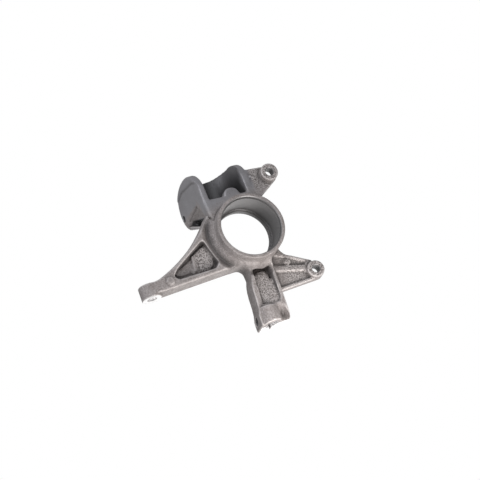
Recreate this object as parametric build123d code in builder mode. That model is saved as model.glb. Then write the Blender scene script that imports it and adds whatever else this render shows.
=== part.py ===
"""Steering knuckle: one ductile-iron casting, machined where other parts fit it.

Millimetres. The wheel bearing's axis is Y and the outboard face of its barrel is drawn at Y = 0,
with inboard towards +Y. X points to the brake caliper and Z up to the strut. The finished part
is then moved along Y, to put the origin in the middle of the bearing's seat.
"""
import os

from build123d import *

os.makedirs("parts", exist_ok=True)

# --- Bearing barrel ---------------------------------------------------------------------
seat_r = 38.0             # pressed bearing's outside radius
lip = 1.2                 # the mouth is this much wider than the seat
lip_depth = 2.6
groove_width = 1.8        # snap-ring groove, just inside the mouth
groove_depth = 1.9
shoulder_r = 34.8         # clear hole behind the bearing
seat_depth = 39.0
barrel_length = 45.0
barrel_wall = 6.3         # at the outboard rim
rim_chamfer = 0.8
flare_r = 10.0            # blend from the barrel's flank into the arms

# --- Band that holds the arms, behind the rim ---------------------------------------------
arm_front = 18.0
arm_back = 44.0
cast_round = 2.5          # rounding of cast outside edges
draft = 7.0               # degrees on pocket walls, so that the pattern leaves the sand

# --- Tie-rod arm ----------------------------------------------------------------------------
eye_x = -147.0
eye_bottom = -58.0
eye_height = 19.0
eye_r = 13.0
eye_hole_r = 6.6
eye_hole_top_r = 5.6      # tapered, for the tie rod's ball pin
web_dish = 11.0           # depth of the arm's dished web
back_dish = 6.0           # and of the dish behind it
pad_height = 2.0
spot_x = -120.5           # ejector spot beside the web
spot_z = -43.0
spot_r = 5.4
spot_height = 1.8

# --- Leg to the lower ball joint ---------------------------------------------------------------
foot_z = -127.0
leg_right = 18.0
foot_left = -23.0
leg_rail = 4.5            # rim left beside the leg's pocket
leg_dish = 17.0           # the pocket's depth under the barrel
ball_x = -8.0
ball_y = 25.0
ball_boss_r = 14.5
ball_boss_height = 24.5
ball_pin_r = 8.5
ball_pin_depth = 26.0
ball_slit = 3.4
ball_slit_depth = 31.0
foot_bolt_r = 5.3
foot_bolt_z = -114.5
flute_r = 9.0
crotch_r = 9.0            # blend between the tie-rod arm and the leg

# --- Brake caliper ears --------------------------------------------------------------------------
ear_front = 20.0          # machined faces of both bosses
ear_thick = 14.0
ear_boss_r = 11.4
ear_hole_r = 5.3
ear_web_front = 27.0      # cast panels stand back from the bosses
ear_rib = 2.6             # ribs and rims stand this much above the panels
panel_draft = 20.0        # degrees on the panels' edges
upper_ear_marks = 29.0    # depth of the faces of the two marks on the upper ear
upper_ear_lean = 11.0     # degrees that the upper ear's plate leans inboard, to follow the clamp
spot_face = 1.5           # cut round the boss, where the bolt's head bears
lower_ear_x = 71.4
lower_ear_z = -66.8
upper_ear_x = 55.3
upper_ear_z = 71.4

# --- Strut clamp ------------------------------------------------------------------------------------
strut_x = -4.5
strut_y = 67.0
strut_r = 26.0
cheek = 9.5               # wall beside the strut
strut_stop_z = 46.0       # ledge that the strut's tube comes down on
strut_stop_r = 22.0       # clear hole through the ledge
saddle_round = 8.0        # its outboard edge
saddle_front = 26.0
clamp_rise = 2.2          # the caliper side of the clamp stands this much higher
skirt = 4.5               # thickness of the cheek where it hangs below the strut
saddle_z = 56.0           # top of the wall between the barrel and the strut
saddle_rib_r = 11.0       # rounded rib on that wall
clamp_front = 28.0
clamp_slit = 4.0
clamp_slit_x = -19.0
clamp_bolt_r = 4.2
clamp_bolt_y = 110.5
clamp_bolt_z = 64.5
clamp_ear = 14.0          # pinch ear on the caliper side of the slit
clamp_wall = 7.0          # behind the strut
panel_depth = 1.6         # relief of the cheek's outer face
arch_r = 88.0             # scoop in that face, above the skirt's window
arch_tilt = 22.0          # degrees that the scoop runs in
arch_lean = 38.0          # and leans outboard
arch_length = 60.0

rim_r = seat_r + barrel_wall
left_cheek = strut_x - strut_r - cheek
right_cheek = strut_x + strut_r + cheek
clamp_width = right_cheek - left_cheek
ear_back = ear_front + ear_thick
ear_face = ear_web_front - ear_rib
right_ear = clamp_slit_x + clamp_slit / 2 + clamp_ear
eye_y = arm_front + eye_r
foot_bolt_y = ball_y + ball_pin_r + 2   # the bolt's shank sits in a groove of the ball pin
cut = 200.0               # longer than the part, for cuts that go right through


def facing_out(y):
    """Plane at depth y that faces outboard, with X to the right and Z up."""
    return Plane.XZ.offset(-y)


# --- Barrel ---------------------------------------------------------------------------------------
with BuildPart() as barrel:
    with BuildSketch(facing_out(barrel_length)):
        Circle(rim_r)
    extrude(amount=barrel_length)
    chamfer(faces().sort_by(Axis.Y)[0].edges(), rim_chamfer)

# Everything turned out of the barrel: mouth, snap-ring groove, bearing seat and clear hole
with BuildPart() as bearing_bore:
    with BuildSketch(Plane.XY):
        with BuildLine():
            Polyline(
                (0, 0),
                (seat_r + lip, 0),
                (seat_r + lip, lip_depth),
                (seat_r + groove_depth, lip_depth),
                (seat_r + groove_depth, lip_depth + groove_width),
                (seat_r, lip_depth + groove_width),
                (seat_r, seat_depth),
                (shoulder_r, seat_depth),
                (shoulder_r, strut_y),
                (0, strut_y),
                close=True,
            )
        make_face()
    revolve(axis=Axis.Y)

# --- Tie-rod arm: a tapering beam with a dished web and an upright eye ----------------------------
with BuildPart() as tie_rod_arm:
    with BuildSketch(facing_out(arm_back)) as arm_outline:
        with BuildLine():
            ThreePointArc((-44, 33), (-86, -9), (eye_x + 12, -37.5))
            Line((eye_x + 12, -37.5), (eye_x, -40.5))
            Line((eye_x, -40.5), (eye_x, -54))
            Line((eye_x, -54), (eye_x + 16, -54.5))
            Line((eye_x + 16, -54.5), (-20, -41))
            Line((-20, -41), (-44, 33))
        make_face()
    extrude(amount=arm_back - arm_front)
    long_edges = edges().filter_by(Plane.XZ).filter_by(lambda e: e.length > 90)
    fillet(long_edges, cast_round)
    with BuildSketch(facing_out(arm_front)):
        Polygon((-61, 2), (-49, -31), (-56, -39), (-108, -43.5), (-114, -38), (-106, -29), align=None)
        fillet(vertices(), 4)
    extrude(amount=-web_dish, taper=draft, mode=Mode.SUBTRACT)
    with BuildSketch(facing_out(arm_front + web_dish)):
        Polygon((-62, -9), (-56, -29), (-60, -36), (-86, -37.5), (-84, -24), align=None)
        fillet(vertices(), 3)
    extrude(amount=pad_height, taper=draft)
    with BuildSketch(facing_out(arm_back)):
        Polygon((-58, 2), (-50, -30), (-56, -37), (-104, -42), (-106, -33), align=None)
        fillet(vertices(), 4)
    extrude(amount=back_dish, taper=draft, mode=Mode.SUBTRACT)
    with BuildSketch(facing_out(arm_front)):
        with Locations((spot_x, spot_z)):
            Circle(spot_r)
    extrude(amount=spot_height, taper=draft)
    with BuildSketch(Plane.XY.offset(eye_bottom)):
        with Locations((eye_x, eye_y)):
            Circle(eye_r)
    extrude(amount=eye_height)

# --- Leg: a beam whose front pocket runs out towards the foot --------------------------------------
with BuildPart() as leg:
    with BuildSketch(facing_out(arm_back)) as leg_outline:
        with BuildLine():
            Line((-17, -20), (-25.6, -41.7))
            RadiusArc((-25.6, -41.7), (-15.5, -50.1), crotch_r)
            Line((-15.5, -50.1), (-15, -58))
            Spline((-15, -58), (-19.5, -85), (-20.5, -102), (foot_left, -113))
            Line((foot_left, -113), (foot_left, foot_z))
            Line((foot_left, foot_z), (leg_right, foot_z))
            Line((leg_right, foot_z), (leg_right, -20))
            Line((leg_right, -20), (-17, -20))
        make_face()
    extrude(amount=arm_back - arm_front)
    fillet(edges().filter_by(Axis.Y).filter_by(lambda e: e.center().Z < foot_z + 1), cast_round)
    with BuildSketch(Plane.XY.offset(foot_z)):
        with Locations((ball_x, ball_y)):
            Circle(ball_boss_r)
    extrude(amount=ball_boss_height, taper=3)
    # Bored for the ball pin, slit behind it and cross-drilled for the clamping bolt
    with Locations((ball_x, ball_y, foot_z)):
        Cylinder(ball_pin_r, ball_pin_depth, align=(Align.CENTER, Align.CENTER, Align.MIN),
                 mode=Mode.SUBTRACT)
        Box(ball_slit, cut, ball_slit_depth, align=(Align.CENTER, Align.MIN, Align.MIN),
            mode=Mode.SUBTRACT)
    with Locations((0, foot_bolt_y, foot_bolt_z)):
        Cylinder(foot_bolt_r, cut, rotation=(0, 90, 0), mode=Mode.SUBTRACT)
    # Flute beside the boss
    with Locations((ball_x + ball_boss_r + flute_r / 2, arm_front - 1, foot_z)):
        Cone(flute_r, 1, 28, align=(Align.CENTER, Align.CENTER, Align.MIN), mode=Mode.SUBTRACT)

with BuildPart() as leg_pocket:
    with BuildSketch(facing_out(arm_front)):
        Polygon((-9, -38), (leg_right - leg_rail, -38), (leg_right - leg_rail, -93), (11, -99), (-13.5, -102),
                align=None)
        fillet(vertices().sort_by(Axis.Z)[1:3], 3)
    extrude(amount=-leg_dish - 10, taper=draft)
    with BuildSketch(Plane.YZ.offset(foot_left)):
        Polygon((arm_front, -40), (arm_front + leg_dish + 3, -40), (arm_front + 1, -101), (arm_front, -102),
                align=None)
    extrude(amount=cut, mode=Mode.INTERSECT)

# --- Caliper ears: dished panels between ribs, with a machined boss at the end ------------------------
def caliper_ear(outline, lean, panels, spots, x, z):
    """A cast plate of the given outline, dished between its ribs, with the boss for one bolt.

    The plate leans inboard by so many degrees from its outline's first corner up. Each spot is the
    place, radius and face's depth of a round mark that the mould leaves.
    """
    with BuildPart() as plate:
        with BuildSketch(facing_out(arm_back)):
            Polygon(*outline, align=None)
            with Locations((x, z)):
                Circle(ear_boss_r)
        extrude(amount=arm_back - ear_front)
        with BuildSketch(Plane.YZ):
            with Locations(Location((ear_face, outline[0][1]), -lean)):
                Rectangle(ear_back - ear_face, cut, align=(Align.MIN, Align.CENTER))
        extrude(amount=cut, mode=Mode.INTERSECT)
        for panel in panels:
            with BuildSketch(facing_out(ear_face)):
                Polygon(*panel, align=None)
                fillet(vertices(), 1.8)
            extrude(amount=-ear_rib, taper=panel_draft, mode=Mode.SUBTRACT)
        for place, radius, face in spots:
            with BuildSketch(facing_out(ear_back)):
                with Locations(place):
                    Circle(radius)
            extrude(amount=ear_back - face)
        with BuildSketch(facing_out(ear_back)):
            with Locations((x, z)):
                Circle(ear_boss_r)
        extrude(amount=ear_thick)
        boss_rim = edges().filter_by(GeomType.CIRCLE).sort_by(Axis.Y)[0]
        chamfer(boss_rim, 0.6)
    return plate.part


lower_ear = caliper_ear(
    [(leg_right - 1, -30), (34, -30), (40, -38), (71, -53), (71.4, -78.2), (leg_right - 1, -85)],
    0,
    [[(20, -36), (38, -41), (63, -53), (61, -57.5), (20, -50)],
     [(20, -57.5), (57, -64), (62, -70), (65, -75.5), (20, -80.5)]],
    [((39.5, -48), 4.1, ear_face)],
    lower_ear_x, lower_ear_z,
)
upper_ear = caliper_ear(
    [(right_cheek - 1, 40), (38.5, 45), (64, 63), (52, 84.5), (right_cheek - 1, 85.2)],
    upper_ear_lean,
    [],
    [((32.6, 74), 1.5, upper_ear_marks), ((36, 70.6), 2.3, upper_ear_marks)],
    upper_ear_x, upper_ear_z,
)

# --- Strut clamp: a thick U around the strut, open outboard above the barrel ---------------------------
with BuildPart() as clamp:
    with BuildSketch(Plane.YZ.offset(left_cheek)):
        with BuildLine():
            Line((arm_front, 0), (arm_front, 18))
            Spline((arm_front, 18), (23, 38), (clamp_front, 56), (31, 77), (42, 92.5), (58, 100.3),
                   (76, 101.8), (95, 98.5), (110, 90.5))
            ThreePointArc((110, 90.5), (117, 68), (101, 45))
            Line((101, 45), (64, 31))
            Line((64, 31), (44, 28))
            Line((44, 28), (44, 0))
            Line((44, 0), (arm_front, 0))
        make_face()
    extrude(amount=clamp_width, dir=(1, 0, clamp_rise / clamp_width))
    # Seen from above, the caliper side follows the strut round to the pinch ear
    with BuildSketch(Plane.XY):
        with BuildLine():
            Line((left_cheek, 0), (left_cheek, 120))
            Line((left_cheek, 120), (right_ear, 120))
            Line((right_ear, 120), (right_ear, strut_y + strut_r + clamp_wall))
            wrap = ThreePointArc(
                (right_ear, strut_y + strut_r + clamp_wall),
                (strut_x + (strut_r + cheek) * 0.78, strut_y + (strut_r + cheek) * 0.63),
                (right_cheek, strut_y),
            )
            Line((right_cheek, strut_y), (right_cheek, 0))
            Line((right_cheek, 0), (left_cheek, 0))
        make_face()
    extrude(amount=cut, mode=Mode.INTERSECT)
    for side in (left_cheek, right_cheek):
        top_edge = edges().filter_by(GeomType.BSPLINE).filter_by(lambda e: abs(e.center().X - side) < 1)
        fillet(top_edge, cast_round)
    # Hollow below the strut: behind the cheek's skirt it ends at the pinch ear, and from the slit
    # on it runs right out
    for start, back in ((left_cheek + skirt, strut_y + strut_r - 4), (clamp_slit_x, cut)):
        with BuildSketch(Plane.YZ.offset(start)):
            Polygon((barrel_length, 0), (barrel_length, 37), (64, 42), (cut, 42 + (cut - 64) / 3),
                    (cut, 0), align=None)
            Rectangle(2 * back, 2 * cut, mode=Mode.INTERSECT)
        extrude(amount=cut, mode=Mode.SUBTRACT)

with BuildPart() as strut_space:
    with BuildSketch(Plane.XY):
        with Locations((strut_x, strut_y)):
            Circle(strut_stop_r)
    extrude(amount=strut_stop_z)
    with BuildSketch(Plane.XY.offset(strut_stop_z)):
        with Locations((strut_x, strut_y)):
            Circle(strut_r)
    extrude(amount=cut)
    # Open outboard above the saddle, whose front edge is rounded
    with BuildSketch(Plane.YZ.offset(strut_x - strut_r)):
        with BuildLine():
            Polyline((strut_y, saddle_z), (strut_y, cut), (0, cut), (0, saddle_z - saddle_round),
                     (saddle_front, saddle_z - saddle_round))
            saddle_edge = JernArc((saddle_front, saddle_z - saddle_round), (0, 1), saddle_round, -90)
            Line(saddle_edge @ 1, (strut_y, saddle_z))
        make_face()
    extrude(amount=2 * strut_r)

# Relief on the cheek's outer face: a panel, an arched dish and the window at the dish's foot
with BuildPart() as cheek_panel:
    with BuildSketch(Plane.YZ.offset(left_cheek)):
        Polygon((30.5, 0), (30.5, 79), (36, 84), (48, 88.5), (90, 93), (130, 84), (130, 0), align=None)
    extrude(amount=panel_depth)

with BuildPart() as cheek_arch:
    with Locations(Location((left_cheek + panel_depth, 49, 51.5), (arch_lean, -arch_tilt, 0))):
        with Locations((-arch_r, 0, 0)):
            Cylinder(arch_r, arch_length, align=(Align.CENTER, Align.CENTER, Align.MAX))
    with BuildSketch(Plane.YZ.offset(left_cheek)):
        Polygon((30, 28.5), (120, 55), (120, 100), (30, 100), align=None)
    extrude(amount=cheek, mode=Mode.INTERSECT)

with BuildPart() as skirt_window:
    with BuildSketch(Plane.YZ.offset(left_cheek)):
        with Locations(Location((66, 38.6), 17)):
            Ellipse(25, 4.6)
    extrude(amount=cheek)

with BuildPart() as strut_clamp:
    add(clamp.part)
    add(strut_space.part, mode=Mode.SUBTRACT)
    with Locations((clamp_slit_x, strut_y, 25)):
        Box(clamp_slit, cut, cut, align=(Align.CENTER, Align.MIN, Align.MIN), mode=Mode.SUBTRACT)
    with Locations((0, clamp_bolt_y, clamp_bolt_z)):
        Cylinder(clamp_bolt_r, cut, rotation=(0, 90, 0), mode=Mode.SUBTRACT)
    add(cheek_panel.part, mode=Mode.SUBTRACT)
    add(cheek_arch.part, mode=Mode.SUBTRACT)
    add(skirt_window.part, mode=Mode.SUBTRACT)
    with BuildSketch(facing_out(strut_y - strut_r)):
        with Locations((strut_x + 5, saddle_z - saddle_rib_r / 5)):
            Circle(saddle_rib_r)
    extrude(amount=strut_y - strut_r - clamp_front)

# --- The blend that carries the arms on the barrel's flank ------------------------------------------------
blend_start = arm_front - flare_r
with BuildPart() as collar:
    with BuildSketch(Plane.XY):
        with BuildLine():
            Line((seat_r + 2, blend_start), (rim_r, blend_start))
            flare = JernArc((rim_r, blend_start), (0, 1), flare_r, -90)
            Polyline(flare @ 1, (rim_r + flare_r, arm_back), (seat_r + 2, arm_back),
                     (seat_r + 2, blend_start))
        make_face()
    revolve(axis=Axis.Y)
    with BuildSketch(facing_out(arm_back)):
        add(arm_outline.sketch_local)
        add(leg_outline.sketch_local)
    extrude(amount=cut, mode=Mode.INTERSECT)

# --- The casting -----------------------------------------------------------------------------------------
with BuildPart() as knuckle:
    add(strut_clamp.part)
    add(tie_rod_arm.part)
    add(leg.part)
    add(collar.part)
    add(leg_pocket.part, mode=Mode.SUBTRACT)
    add(barrel.part)
    add(lower_ear)
    add(upper_ear)

    # Machined: bearing bore, caliper holes, tie-rod eye
    add(bearing_bore.part, mode=Mode.SUBTRACT)
    with BuildSketch(facing_out(ear_front)):
        with Locations((lower_ear_x, lower_ear_z), (upper_ear_x, upper_ear_z)):
            Circle(ear_hole_r)
    extrude(amount=-ear_thick, mode=Mode.SUBTRACT)
    with BuildSketch(facing_out(ear_back)):
        with Locations((lower_ear_x, lower_ear_z), (upper_ear_x, upper_ear_z)):
            Circle(ear_boss_r + spot_face)
    extrude(amount=ear_back - arm_back, mode=Mode.SUBTRACT)
    with Locations((eye_x, eye_y, eye_bottom)):
        Cone(eye_hole_r, eye_hole_top_r, eye_height, align=(Align.CENTER, Align.CENTER, Align.MIN),
             mode=Mode.SUBTRACT)

# The part's own frame has its origin in the middle of the bearing's seat
seat_middle = (lip_depth + groove_width + seat_depth) / 2
with BuildPart() as knuckle_casting:
    add(knuckle.part.moved(Location((0, -seat_middle, 0))))

knuckle_casting.part.label = "knuckle_casting"
export_step(knuckle_casting.part, "parts/knuckle_casting.step")
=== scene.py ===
from math import cos, pi, radians, sin

import bmesh
import bpy
import numpy as np
from mathutils import Matrix, Vector
from mathutils.kdtree import KDTree


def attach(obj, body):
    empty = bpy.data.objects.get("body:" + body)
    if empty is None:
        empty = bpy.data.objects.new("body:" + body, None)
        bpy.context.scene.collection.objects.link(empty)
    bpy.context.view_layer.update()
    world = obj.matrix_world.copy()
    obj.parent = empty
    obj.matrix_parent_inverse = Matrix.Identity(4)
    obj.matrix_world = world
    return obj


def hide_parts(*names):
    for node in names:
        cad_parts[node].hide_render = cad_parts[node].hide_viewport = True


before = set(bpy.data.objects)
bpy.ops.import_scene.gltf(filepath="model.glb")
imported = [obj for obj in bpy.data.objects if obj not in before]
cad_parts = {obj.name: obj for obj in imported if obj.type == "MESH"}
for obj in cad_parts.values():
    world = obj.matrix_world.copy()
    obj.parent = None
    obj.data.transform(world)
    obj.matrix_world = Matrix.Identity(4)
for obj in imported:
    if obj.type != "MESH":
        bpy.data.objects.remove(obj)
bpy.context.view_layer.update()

# --- Casting as poured --------------------------------------------------------------------------
# One piece of ductile iron from a sand mould. Its bores are solid here and are bored later. Rough
# pads stand on the floors of the arm's and the leg's pockets.
MM = 0.001
face_y = -21.7 * MM                # outboard face of the barrel, from which depths are measured
seat_r = 38.0 * MM
barrel_length = 45.0 * MM
boss_face_y = face_y + 20.0 * MM   # outboard face of the caliper's bosses
boss_depth = 14.0 * MM
caliper_bosses = ((55.3 * MM, 71.4 * MM), (71.4 * MM, -66.8 * MM))
eye = Vector((-147.0, 9.3, -58.0)) * MM
eye_height = 19.0 * MM
foot = Vector((-8.0, 3.3, -127.0)) * MM
ball_pin_r = 8.5 * MM
ball_pin_depth = 26.0 * MM
# The iron that fills the bores
barrel_plug_r = seat_r + 3 * MM
eye_plug_r, boss_plug_r = 8 * MM, 7 * MM
ball_pin_plug_r, ball_pin_plug_depth = ball_pin_r + MM, ball_pin_depth + MM

inboard = Vector((0, 1, 0))
up = Vector((0, 0, 1))

# Outlines in mm, as x and z, with the leg's pad as x, depth and z because it slopes
arm_pad = ((-60.8, -4.6), (-58.6, -8.0), (-53.6, -27.3), (-55.4, -31.7), (-59.2, -33.4),
           (-80.7, -34.4), (-79.7, -14.9), (-68.4, -8.3))
arm_ridge = ((-77.5, -13.5), (-80.8, -15.8), (-78.2, -34.6), (-82.4, -35.0))
arm_ramp = ((-79.0, -17.0), (-79.0, -33.6), (-100.0, -37.0), (-107.0, -35.4), (-106.5, -31.5),
            (-98.0, -27.5))
leg_pad = ((-7.6, 25.7, -57.7), (-5.1, 26.3, -54.0), (-1.4, 26.6, -52.0), (7.3, 26.6, -51.6),
           (9.5, 26.1, -55.0), (10.2, 25.1, -61.9), (13.0, 20.5, -94.1), (10.4, 20.0, -97.2),
           (-12.2, 19.7, -99.3), (-12.8, 20.4, -95.1))
arm_pad_depth, arm_ridge_depth = 26.2, 25.2
arm_ramp_end, arm_ramp_end_depth, arm_ramp_run = -107.0, 26.0, 14.0
arm_floor_depth, leg_floor_depth = 31.0, 40.0
# The rim along the foot of the clamp's cheek, as depth and z
rim = ((44, 28.2), (64, 31.2), (99, 44.6), (96, 47.6), (64, 34.6), (44, 31.8))
rim_outer, rim_inner = -39.7, -35.0


def finished(name, mesh):
    """The bmesh as an object of the scene, with its faces turned outwards."""
    bmesh.ops.recalc_face_normals(mesh, faces=mesh.faces)
    data = bpy.data.meshes.new(name)
    mesh.to_mesh(data)
    mesh.free()
    made = bpy.data.objects.new(name, data)
    bpy.context.scene.collection.objects.link(made)
    return made


def turned(name, start, axis, profile, steps=96):
    """A closed solid turned about an axis; profile is (radius, distance from start) pairs."""
    mesh = bmesh.new()
    turn = up.rotation_difference(axis).to_matrix()
    rings = []
    for radius, along in profile:
        angles = (2 * pi * k / steps for k in range(steps))
        points = (Vector((radius * cos(a), radius * sin(a), along)) for a in angles)
        rings.append([mesh.verts.new(Vector(start) + turn @ p) for p in points])
    for low, high in zip(rings, rings[1:]):
        for k in range(steps):
            n = (k + 1) % steps
            mesh.faces.new((low[k], low[n], high[n], high[k]))
    mesh.faces.new(rings[0])
    mesh.faces.new(rings[-1])
    return finished(name, mesh)


def pin(name, start, axis, radius, length, steps=64):
    """A plain cylinder."""
    return turned(name, start, axis, ((radius, 0), (radius, length)), steps)


def shape_of(name, points):
    """The smallest solid that holds the points, given in mm as x, depth and z."""
    mesh = bmesh.new()
    for x, depth, z in points:
        mesh.verts.new(Vector((x * MM, face_y + depth * MM, z * MM)))
    made = bmesh.ops.convex_hull(mesh, input=mesh.verts)
    inside = list(set(made["geom_interior"] + made["geom_unused"]))
    bmesh.ops.delete(mesh, geom=inside, context="VERTS")
    return finished(name, mesh)


def ramp_depth(x):
    """The arm's ramp sinks towards the barrel."""
    return arm_ramp_end_depth + (x - arm_ramp_end) / arm_ramp_run


pieces = [
    pin("barrel", (0, face_y, 0), inboard, barrel_plug_r, barrel_length, 128),
    pin("eye", eye, up, eye_plug_r, eye_height),
    pin("foot", foot, up, ball_pin_plug_r, ball_pin_plug_depth),
]
for x, z in caliper_bosses:
    pieces.append(pin("boss", (x, boss_face_y, z), inboard, boss_plug_r, boss_depth))
pieces += [
    shape_of("arm_pad", [(x, depth, z) for x, z in arm_pad
                         for depth in (arm_pad_depth, arm_floor_depth)]),
    shape_of("arm_ridge", [(x, depth, z) for x, z in arm_ridge
                           for depth in (arm_ridge_depth, arm_floor_depth)]),
    shape_of("arm_ramp", [(x, depth, z) for x, z in arm_ramp
                          for depth in (ramp_depth(x), arm_floor_depth)]),
    shape_of("leg_pad", [(x, depth, z) for x, top, z in leg_pad
                         for depth in (top, leg_floor_depth)]),
    shape_of("rim", [(x, depth, z) for depth, z in rim for x in (rim_outer, rim_inner)]),
]
poured = bmesh.new()
poured.from_mesh(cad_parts["knuckle_casting"].data)
for piece in pieces:
    poured.from_mesh(piece.data)
    bpy.data.objects.remove(piece)
knuckle = finished("knuckle", poured)

# --- Cores ----------------------------------------------------------------------------------------
# Sand cores leave the scoop in the outer face of the clamp's cheek and the window at its foot. The
# underside of the foot slopes up to the right.
skin_mesh = 0.8 * MM               # spacing of the casting's even mesh

scoop = ((-42, 58, 61.5), (-36.8, 58, 60.5), (-42, 101, 57), (-36.8, 99, 56),
         (-42, 43.5, 38.6), (-36.8, 45, 39.2), (-42, 93, 46.5), (-42, 64, 36),
         (-35.0, 84, 46.5), (-34.6, 64, 40), (-35.0, 50, 37))
window = ((94.4, 47.5), (64.2, 42.5), (45.9, 38.0), (44.9, 33.5), (64.3, 34.8), (90.0, 45.4))
window_outer, window_inner = -46.0, -33.0
# The foot's sides, and places behind and below it, in mm
foot_left, foot_right, behind_foot, below_foot = -23, 40, 60, -140
foot_slope = (-127.2, -120.3)      # heights at the foot's left and right


def worked(piece):
    """Works the piece's modifiers into its mesh."""
    shape = piece.evaluated_get(bpy.context.evaluated_depsgraph_get())
    data = bpy.data.meshes.new_from_object(shape)
    piece.modifiers.clear()
    piece.data = data


def skinned(piece):
    """Wraps the piece in one even skin."""
    remesh = piece.modifiers.new("skin", "REMESH")
    remesh.mode = "VOXEL"
    remesh.voxel_size = skin_mesh
    worked(piece)


def cut_away(piece, tools):
    """Cuts the tools' shapes out of the piece."""
    for tool in tools:
        cut = piece.modifiers.new(tool.name, "BOOLEAN")
        cut.operation = "DIFFERENCE"
        cut.solver = "MANIFOLD"
        cut.object = tool
    worked(piece)
    for tool in tools:
        bpy.data.objects.remove(tool)


def under_foot(name, front, left_z, right_z):
    """A slab below the foot, from a front depth on, whose top slopes from left_z to right_z."""
    section = ((foot_left, left_z), (foot_right, right_z),
               (foot_right, below_foot), (foot_left, below_foot))
    return shape_of(name, [(x, depth, z) for depth in (front, behind_foot) for x, z in section])


skinned(knuckle)
cut_away(knuckle, [
    shape_of("scoop", scoop),
    shape_of("window", [(x, depth, z) for depth, z in window
                        for x in (window_outer, window_inner)]),
    under_foot("foot_slope", 0, *foot_slope),
])
skinned(knuckle)

# --- Corners, blends and valleys ------------------------------------------------------------------
# Sand holds no sharp corner, so every edge of the iron is rounded and every inside corner filled.
# Broad blends and shallow valleys lead from the barrel into the arm, the leg and the clamp.
skin_triangles = 188000
corner_passes, blend_passes, pocket_passes = 5, 16, 50
edge_passes, dip_passes, wide_share = 8, 90, 0.6
arm_valley_depth, boss_valley_depth, lip_dip_depth = 4.2 * MM, 4.0 * MM, 5.0 * MM
lower_left_x, lower_left_z = -0.82, -0.57
boss_side_x, boss_side_z, boss_side_run = 8.5 * MM, -105 * MM, 4
lip_dip_x, lip_dip_z = 7 * MM, -53.5 * MM


def positions(mesh):
    """The mesh's points, one row each."""
    co = np.empty(len(mesh.vertices) * 3, np.float32)
    mesh.vertices.foreach_get("co", co)
    return co.reshape(-1, 3).astype(float)


# The two ends of each of the skin's edges
ends = np.empty(len(knuckle.data.edges) * 2, np.int32)
knuckle.data.edges.foreach_get("vertices", ends)
ends = ends.reshape(-1, 2)


def relaxed(co, passes, share=0.5):
    """Moves each point towards the middle of its neighbours by its share, so many times."""
    count = np.bincount(ends.ravel(), minlength=len(co))[:, None]
    for _ in range(passes):
        total = np.zeros_like(co)
        for i in range(3):
            total[:, i] = np.bincount(ends[:, 0], co[ends[:, 1], i], len(co))
            total[:, i] += np.bincount(ends[:, 1], co[ends[:, 0], i], len(co))
        co = co + share * (total / count - co)
    return co


def rising(value, low, high):
    """0 below low, 1 above high and smooth between."""
    t = np.clip((value - low) / (high - low), 0, 1)
    return t * t * (3 - 2 * t)


def past(value, low, high):
    """0 below low, 1 above high, both in mm."""
    return rising(value, low * MM, high * MM)


def short_of(value, low, high):
    """1 below low, 0 above high, both in mm."""
    return 1 - past(value, low, high)


def within(value, start, full, last, end):
    """1 from full to last, fading to 0 at start and end, all in mm."""
    return past(value, start, full) * short_of(value, last, end)


co = positions(knuckle.data)
from_axis = np.hypot(co[:, 0], co[:, 2])
depth = co[:, 1] - face_y
co = relaxed(co, corner_passes)
# Broad blends grow the arm, the leg and the clamp out of the barrel
root = within(from_axis, 45, 48, 56, 64) * within(depth, 5, 9, 36, 41)
co = relaxed(co, blend_passes, 0.5 * root[:, None])
# The top of the leg's pocket has rounder corners
pocket_top = within(co[:, 2], -78, -70, -53, -49) * within(co[:, 0], -20, -15, 16, 20)
pocket_top *= within(depth, 13, 16, 32, 36)
co = relaxed(co, pocket_passes, 0.5 * pocket_top[:, None])
x, z = co[:, 0], co[:, 2]
# The valley round the barrel's lower left
lower_left = rising((lower_left_x * x + lower_left_z * z) / from_axis, 0.25, 0.6)
arm_valley = lower_left * within(from_axis, 46, 51.5, 52.5, 62) * within(depth, 4, 8, 20, 26)
co[:, 1] += arm_valley_depth * arm_valley
# The valley to the right of the ball pin's boss
beside_boss = np.abs(x - boss_side_x + (z - boss_side_z) / boss_side_run)
boss_valley = short_of(beside_boss, 0, 8) * short_of(z, -116, -101) * short_of(depth, 22, 27)
co[:, 1] += boss_valley_depth * boss_valley
# The dip in the lip over the leg's pocket
over_pocket = np.hypot(x - lip_dip_x, z - lip_dip_z)
co[:, 1] += lip_dip_depth * short_of(over_pocket, 3, 11) * within(depth, 8, 11, 16, 28)
knuckle.data.vertices.foreach_set("co", co.astype(np.float32).ravel())
knuckle.data.update()

# How far each point stands out of the skin around it, or lies in a dip, in mm
normals = np.empty(len(co) * 3, np.float32)
knuckle.data.vertices.foreach_get("normal", normals)
normals = normals.reshape(-1, 3)
stands_out = ((co - relaxed(co, edge_passes, wide_share)) * normals).sum(axis=1) / MM
in_a_dip = ((relaxed(co, dip_passes, wide_share) - co) * normals).sum(axis=1) / MM
skin_points = KDTree(len(co))
for i, point in enumerate(co):
    skin_points.insert(point, i)
skin_points.balance()

thin = knuckle.modifiers.new("thin", "DECIMATE")
thin.ratio = skin_triangles / (2 * len(co))
worked(knuckle)

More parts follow.
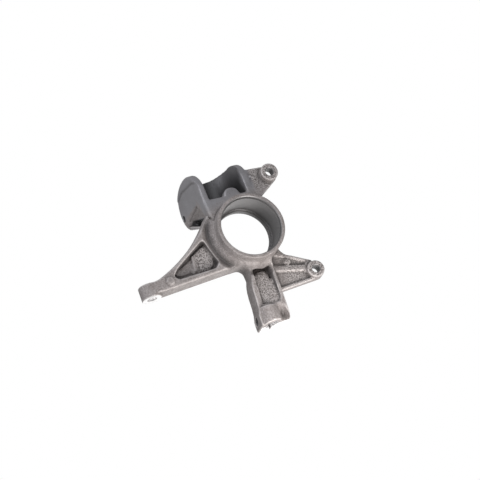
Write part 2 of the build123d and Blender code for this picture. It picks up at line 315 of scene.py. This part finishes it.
# --- Machined faces and holes ---------------------------------------------------------------------
# The bearing's seat with its snap-ring groove and shoulder, the bolt holes, the tie rod's tapered
# eye and the ball pin's split bore, all cut in bright iron with crisp edges.
bolt_r, bolt_chamfer = 5.3 * MM, 1.6 * MM
strut_bolt_r = 4.2 * MM
cross_hole_length = 60 * MM
ball_pin_bolt = (-30 * MM, 13.8 * MM, -114.5 * MM)
strut_bolt = (-50 * MM, 88.8 * MM, 64.5 * MM)
ball_pin_slit_low = Vector((-1.7, 0, -6)) * MM    # from the foot
ball_pin_slit_high = Vector((1.7, 40, 31)) * MM
strut_slit_low = Vector((-21, 70, 20)) * MM
strut_slit_high = Vector((-17, 110, 110)) * MM
eye_face_r, eye_face_depth = 18 * MM, 0.4 * MM
foot_face = (-126.9, -120.0)       # heights at the foot's left and right
foot_face_start = 26
mouth = 2 * MM                     # the bores' tools start this far below the iron
beyond = 6 * MM                    # and the others run this far past it
bearing_seat = ((41.0, -1.0), (39.2, 0.8), (39.2, 2.6), (39.9, 2.6), (39.9, 4.4), (38.0, 4.4),
                (38.0, 37.8), (36.8, 39.0), (35.6, 39.0), (34.8, 39.8), (34.8, 67.0))
eye_taper = ((8.0, 0), (6.6, 2.6), (5.6, 20.4), (6.8, 23))
milled = ("eye_face", "eye_bore", "foot_face", "ball_pin_bore", "ball_pin_slit")
sharp_edge = radians(35)
right = Vector((1, 0, 0))


def block(name, low, high):
    """A box between two corners."""
    mesh = bmesh.new()
    bmesh.ops.create_cube(mesh, size=1)
    low, high = Vector(low), Vector(high)
    for corner in mesh.verts:
        corner.co = (low + high) / 2 + corner.co * (high - low)
    return finished(name, mesh)


def in_metres(profile):
    """A profile's radii and distances, from mm."""
    return [(radius * MM, along * MM) for radius, along in profile]


tools = [
    pin("eye_face", eye - beyond * up, up, eye_face_r, beyond + eye_face_depth),
    under_foot("foot_face", foot_face_start, *foot_face),
    turned("bearing_seat", (0, face_y, 0), inboard, in_metres(bearing_seat), 160),
    turned("eye_bore", eye - mouth * up, up, in_metres(eye_taper)),
    turned("ball_pin_bore", foot - mouth * up, up, (
        (ball_pin_r + mouth, 0), (ball_pin_r, mouth + MM), (ball_pin_r, mouth + ball_pin_depth))),
    block("ball_pin_slit", foot + ball_pin_slit_low, foot + ball_pin_slit_high),
    pin("ball_pin_bolt", ball_pin_bolt, right, bolt_r, cross_hole_length),
    pin("strut_bolt", strut_bolt, right, strut_bolt_r, cross_hole_length),
    block("strut_slit", strut_slit_low, strut_slit_high),
]
for x, z in caliper_bosses:
    tools.append(turned("bolt_hole", (x, boss_face_y - MM, z), inboard, (
        (bolt_r + bolt_chamfer, 0), (bolt_r, bolt_chamfer), (bolt_r, boss_depth + beyond))))

cast_iron = bpy.data.materials.new("cast_iron_skin")
bored_iron = bpy.data.materials.new("bored_iron")
milled_iron = bpy.data.materials.new("milled_iron")
irons = (cast_iron, bored_iron, milled_iron)
knuckle.data.materials.clear()
for iron in irons:
    knuckle.data.materials.append(iron)
for tool in tools:
    for iron in irons:
        tool.data.materials.append(iron)
    cut_in = milled_iron if tool.name in milled else bored_iron
    for face in tool.data.polygons:
        face.material_index = irons.index(cut_in)
cut_away(knuckle, tools)
for face in knuckle.data.polygons:
    face.use_smooth = True
knuckle.data.set_sharp_from_angle(angle=sharp_edge)


def colour(r, g, b):
    return (r, g, b, 1)


def shader_of(material):
    """The material's nodes and its main shader."""
    material.use_nodes = True
    return material.node_tree, material.node_tree.nodes["Principled BSDF"]


def plain(material, tint, roughness, metallic=0.0):
    """One even finish."""
    shader = shader_of(material)[1]
    shader.inputs["Base Color"].default_value = tint
    shader.inputs["Roughness"].default_value = roughness
    shader.inputs["Metallic"].default_value = metallic


plain(bored_iron, colour(0.19, 0.184, 0.184), 0.45, 0.4)
plain(milled_iron, colour(0.92, 0.91, 0.91), 0.35, 0.85)

# --- Blasted skin ---------------------------------------------------------------------------------
# Shot cleans the iron grey and leaves specks of brown scale. Edges are worn lighter and carry a
# painted highlight, and corners, dips, pocket walls, the barrel's valley and the clamp's inside
# carry painted shade. The clamp was moulded in finer sand, and the floors of pockets and the
# caliper's ears in coarser; the clamp's smooth skin also takes a cool tint of painted skylight from
# above.
warm_dark, warm_light = colour(0.235, 0.212, 0.205), colour(0.315, 0.288, 0.282)
# the cool pair is a tint of painted skylight from above, on the clamp's smooth skin
skylit_dark, skylit_light = colour(0.235, 0.228, 0.238), colour(0.27, 0.263, 0.276)
grain_pit, grain_top = colour(0.12, 0.10, 0.095), colour(0.52, 0.49, 0.48)
stipple_dark, stipple_light = colour(0.13, 0.115, 0.11), colour(0.45, 0.42, 0.41)
# lighter edges: partly wear, partly a painted highlight
worn_edge_and_highlight = colour(0.58, 0.55, 0.54)
brown_scale = colour(0.13, 0.10, 0.085)
# painted shade in corners and dips
painted_corner_shade = colour(0.06, 0.053, 0.05)
# near-black of painted shade, where the clamp's inside, pocket walls and the barrel's valley lie in
# shadow
painted_shade_black = colour(0.014, 0.0135, 0.0145)
grain_height = 0.9 * MM
# shares of painted shade on the pockets' walls and in the barrel's valley, and the share of edge
# wear, painted highlight and corner shade kept on the barrel's lip
painted_wall_shade, painted_valley_shade, lip_relief_share = 0.6, 0.42, 0.4
fine_sand_lean = 0.25              # how far the fine sand's border leans over to the right
arm_pocket_x, arm_pocket_z = -72 * MM, -20 * MM
ears_middle_z = 8 * MM
# how much less painted shade lies high on the right cheek, inside the clamp
cheek_top_lit = 0.4
rough_skin, smooth_skin = 0.55, 0.4
rough_bump, smooth_bump = 1.0, 0.15
skin_metallic = 0.25
# Scale, detail and roughness of the noise behind each
sand_grain_noise, stipple_noise = (520.0, 2.0, 0.6), (780.0, 1.0, 0.5)
blotch_noise, speck_noise = (70.0, 4.0, 0.6), (700.0, 1.0, 0.5)

co = positions(knuckle.data)
nearest = [skin_points.find(point)[1] for point in co]
facing = normals[nearest]
facing_out = -facing[:, 1]
x, depth, z = co[:, 0], co[:, 1] - face_y, co[:, 2]
from_axis = np.hypot(x, z)


def marked(name, values):
    """Stores a number for every point of the casting, for its materials to read."""
    layer = knuckle.data.attributes.new(name, "FLOAT", "POINT")
    layer.data.foreach_set("value", np.asarray(values, np.float32))


# painted shade in dips, by how deep each point lies in one
marked("in_a_dip", np.clip(in_a_dip[nearest], 0, 3))
# The barrel's lip is less worn and carries less painted edge highlight and corner shade
lip = short_of(from_axis, 45, 47) * short_of(depth, 6, 8)
marked("stands_out", np.clip(stands_out[nearest], -0.5, 0.5) * (1 - (1 - lip_relief_share) * lip))
# Finer sand on the clamp, apart from its scoop; its colour also paints in cool skylight from above
clamp_side = past(z - fine_sand_lean * x, 38, 58) * past(depth, 6, 12) * short_of(x, 31, 34)
scooped = within(x, -39.8, -39.3, -33.5, -33) * short_of(z, 61, 62) * past(depth, 43, 45)
marked("fine_sand", clamp_side * (1 - scooped))
# Coarser sand on the pockets' floors and the caliper's ears
arm_floor = within(x, -78, -77, -54, -50) * within(z, -38, -36, 0, 2) * past(depth, 24, 25)
leg_floor = short_of(np.abs(x), 13, 15) * within(z, -101, -99, -54, -50) * past(depth, 18, 19)
ears = past(x, 30, 34) * past(np.abs(z - ears_middle_z), 44, 50) * past(depth, 17, 19)
floors = np.maximum(np.maximum(arm_floor, leg_floor), ears) * rising(facing_out, 0.3, 0.7)
floors *= 1 - past(depth, 29, 33) * (x < 20 * MM)
marked("coarse_sand", floors * (1 - clamp_side))
# Painted shade between the clamp's cheeks, less high on the right one, and in the hollow under
# it...
between_cheeks = within(x, -31.5, -30, 22, 24) * past(depth, 31, 40) * past(z, 41, 45)
between_cheeks *= 1 - cheek_top_lit * past(z, 65, 100) * past(x, 2, 12)
hollow = past(x, -36.5, -35) * past(depth, 45, 47)
hollow *= short_of(z - depth / 3, 22, 24) * past(z, 15, 20)
# ...and on the walls of the arm's and the leg's pockets and in the barrel's valley
inwards = np.stack((arm_pocket_x - x, arm_pocket_z - z), axis=1)
inwards /= np.hypot(inwards[:, 0], inwards[:, 1])[:, None]
arm_walls = within(x, -112, -108, -50, -46) * within(z, -42, -38, 2, 6)
arm_walls *= rising((inwards * facing[:, ::2]).sum(axis=1), 0.1, 0.4)
leg_walls = short_of(np.abs(x), 18, 20) * within(z, -104, -100, -50, -47)
leg_walls *= rising(-np.sign(x) * facing[:, 0], 0.1, 0.4)
walls = np.maximum(arm_walls, leg_walls) * within(depth, 14, 17, 30, 32)
walls *= 1 - rising(np.abs(facing_out), 0.35, 0.8)
valley = arm_valley[nearest] * rising(facing_out, 0, 0.5)
# All of these are painted shade
marked("painted_dark_shade", np.max(
    (between_cheeks, hollow, painted_wall_shade * walls, painted_valley_shade * valley), axis=0))


def node(tree, kind, **values):
    """A new node; values are its properties, or its inputs by name."""
    made = tree.nodes.new(kind)
    for name, value in values.items():
        if hasattr(made, name):
            setattr(made, name, value)
        else:
            made.inputs[name.replace("_", " ")].default_value = value
    return made


def mixed(tree, share, first, second):
    """The colour between two others by a share; each is a colour or another node's socket."""
    mix = node(tree, "ShaderNodeMix", data_type="RGBA")
    sockets = (mix.inputs[0], mix.inputs[6], mix.inputs[7])
    for socket, value in zip(sockets, (share, first, second)):
        if isinstance(value, tuple):
            socket.default_value = value
        else:
            tree.links.new(value, socket)
    return mix.outputs[2]


def stretched(tree, value, low, high, to_low=0.0, to_high=1.0):
    """A value's range spread over another."""
    spread = node(tree, "ShaderNodeMapRange",
                  From_Min=low, From_Max=high, To_Min=to_low, To_Max=to_high)
    tree.links.new(value, spread.inputs["Value"])
    return spread.outputs["Result"]


def coated(tree, base, coats):
    """Coats over a base; each is a value, where it starts and is full, its cover, its tint."""
    for value, start, full, cover, tint in coats:
        base = mixed(tree, stretched(tree, value, start, full, 0.0, cover), base, tint)
    return base


tree, shader = shader_of(cast_iron)
place = node(tree, "ShaderNodeTexCoord").outputs["Object"]


def noise(scale, detail, roughness):
    """A noise over the whole casting."""
    made = node(tree, "ShaderNodeTexNoise", Scale=scale, Detail=detail, Roughness=roughness)
    tree.links.new(place, made.inputs["Vector"])
    return made.outputs["Fac"]


def mark(name):
    """A number that is stored on the casting."""
    return node(tree, "ShaderNodeAttribute", attribute_name=name).outputs["Fac"]


sand_grain = noise(*sand_grain_noise)
blotches = stretched(tree, noise(*blotch_noise), 0.35, 0.65)
specks = noise(*speck_noise)
stipple = mixed(tree, stretched(tree, noise(*stipple_noise), 0.41, 0.57),
                stipple_dark, stipple_light)
fine = mark("fine_sand")
relief = mark("stands_out")

rough = coated(tree, mixed(tree, blotches, warm_dark, warm_light), (
    (sand_grain, 0.52, 0.38, 0.35, grain_pit),
    (sand_grain, 0.54, 0.68, 0.35, grain_top),
    (mark("coarse_sand"), 0.0, 1.0, 1.0, stipple),
    # convex edges lighter: wear and a painted highlight
    (relief, 0.09, 0.30, 0.75, worn_edge_and_highlight),
))
# a cool tint of painted skylight on the clamp's smooth skin
smooth = mixed(tree, blotches, skylit_dark, skylit_light)
iron = coated(tree, mixed(tree, fine, rough, smooth), (
    (specks, 0.60, 0.72, 0.5, brown_scale),
    # painted shade in concave corners and dips
    (relief, -0.03, -0.22, 0.7, painted_corner_shade),
    (mark("in_a_dip"), 0.35, 1.6, 0.6, painted_corner_shade),
    # painted shade, near-black, where light hardly reaches
    (mark("painted_dark_shade"), 0.0, 1.0, 0.95, painted_shade_black),
))
tree.links.new(iron, shader.inputs["Base Color"])
shader.inputs["Metallic"].default_value = skin_metallic
tree.links.new(stretched(tree, fine, 0.0, 1.0, rough_skin, smooth_skin),
               shader.inputs["Roughness"])
bump = node(tree, "ShaderNodeBump", Distance=grain_height)
tree.links.new(stretched(tree, fine, 0.0, 1.0, rough_bump, smooth_bump),
               bump.inputs["Strength"])
tree.links.new(sand_grain, bump.inputs["Height"])
tree.links.new(bump.outputs["Normal"], shader.inputs["Normal"])

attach(knuckle, "root")
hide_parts("knuckle_casting")

# --- Floor ----------------------------------------------------------------------------------------
# A wide sheet of white paper, well below the part, so that its shadow falls out of sight.
floor_z = -1.15
floor_size = 4

mesh = bmesh.new()
bmesh.ops.create_grid(mesh, x_segments=1, y_segments=1, size=floor_size)
for corner in mesh.verts:
    corner.co.z = floor_z
floor = finished("floor", mesh)
paper = bpy.data.materials.new("white_paper")
plain(paper, colour(0.9, 0.9, 0.9), 0.9)
floor.data.materials.append(paper)

# --- Camera ---------------------------------------------------------------------------------------
# A camera without perspective, in front of the part's outboard side, a little to its left and
# below it, and leaning to one side.
picture_width = 0.6
camera_distance = 1.875
aim_left, aim_down = 14.25 * MM, 18.5 * MM
camera_right = Vector((0.9095, -0.2605, -0.3145))
camera_up = Vector((0.1988, -0.3906, 0.896))

side = camera_right.normalized()
towards = side.cross(camera_up).normalized()
top = towards.cross(side)
aim = Vector((0, face_y, 0)) - aim_left * side - aim_down * top
lens = bpy.data.cameras.new("camera")
lens.type = "ORTHO"
lens.ortho_scale = picture_width
camera = bpy.data.objects.new("camera", lens)
turn = Matrix((side, top, towards)).transposed()
camera.matrix_world = Matrix.Translation(aim + camera_distance * towards) @ turn.to_4x4()
bpy.context.scene.collection.objects.link(camera)
bpy.context.scene.camera = camera
bpy.context.scene.view_settings.view_transform = "Standard"

# --- Light ----------------------------------------------------------------------------------------
# White surroundings, with two warm lamps in front at the lower right, cool ones to the left and
# above, and one behind and below that whitens the milled undersides.
room_light = 0.45
warm_lamp, cool_lamp, white_lamp = (1.0, 0.97, 0.95), (0.93, 0.95, 1.0), (1.0, 1.0, 1.0)

world = bpy.data.worlds.new("studio")
bpy.context.scene.world = world
world.use_nodes = True
sky = world.node_tree
sky.nodes.clear()
out = sky.nodes.new("ShaderNodeOutputWorld")
mix = sky.nodes.new("ShaderNodeMixShader")
soft = sky.nodes.new("ShaderNodeBackground")
soft.inputs["Strength"].default_value = room_light
white = sky.nodes.new("ShaderNodeBackground")
white.inputs["Color"].default_value = colour(1, 1, 1)
path = sky.nodes.new("ShaderNodeLightPath")
sky.links.new(path.outputs["Is Camera Ray"], mix.inputs[0])
sky.links.new(soft.outputs[0], mix.inputs[1])
sky.links.new(white.outputs[0], mix.inputs[2])
sky.links.new(mix.outputs[0], out.inputs[0])


def along_camera(place):
    """A place given along the camera's side, top and towards, in metres from its aim."""
    return aim + place[0] * side + place[1] * top + place[2] * towards


def lamp(name, place, power, size, tint, target=(0, 0, 0)):
    """A soft square lamp that shines from a place on a target."""
    data = bpy.data.lights.new(name, "AREA")
    data.energy = power
    data.size = size
    data.color = tint
    made = bpy.data.objects.new(name, data)
    made.location = along_camera(place)
    beam = along_camera(target) - made.location
    made.rotation_euler = beam.to_track_quat("-Z", "Y").to_euler()
    bpy.context.scene.collection.objects.link(made)


lamp("key", (0.32, -0.34, 0.28), 1.6, 0.22, warm_lamp, (0.02, -0.05, 0))
lamp("low", (0.15, -0.20, 0.20), 0.8, 0.15, warm_lamp, (0.04, -0.1, 0))
lamp("left", (-0.5, 0.1, 0.3), 1.6, 0.4, cool_lamp)
lamp("above", (-0.10, 0.45, 0.30), 1.0, 0.3, cool_lamp)
lamp("table", (0.11, -0.33, -0.49), 1.0, 0.6, white_lamp)
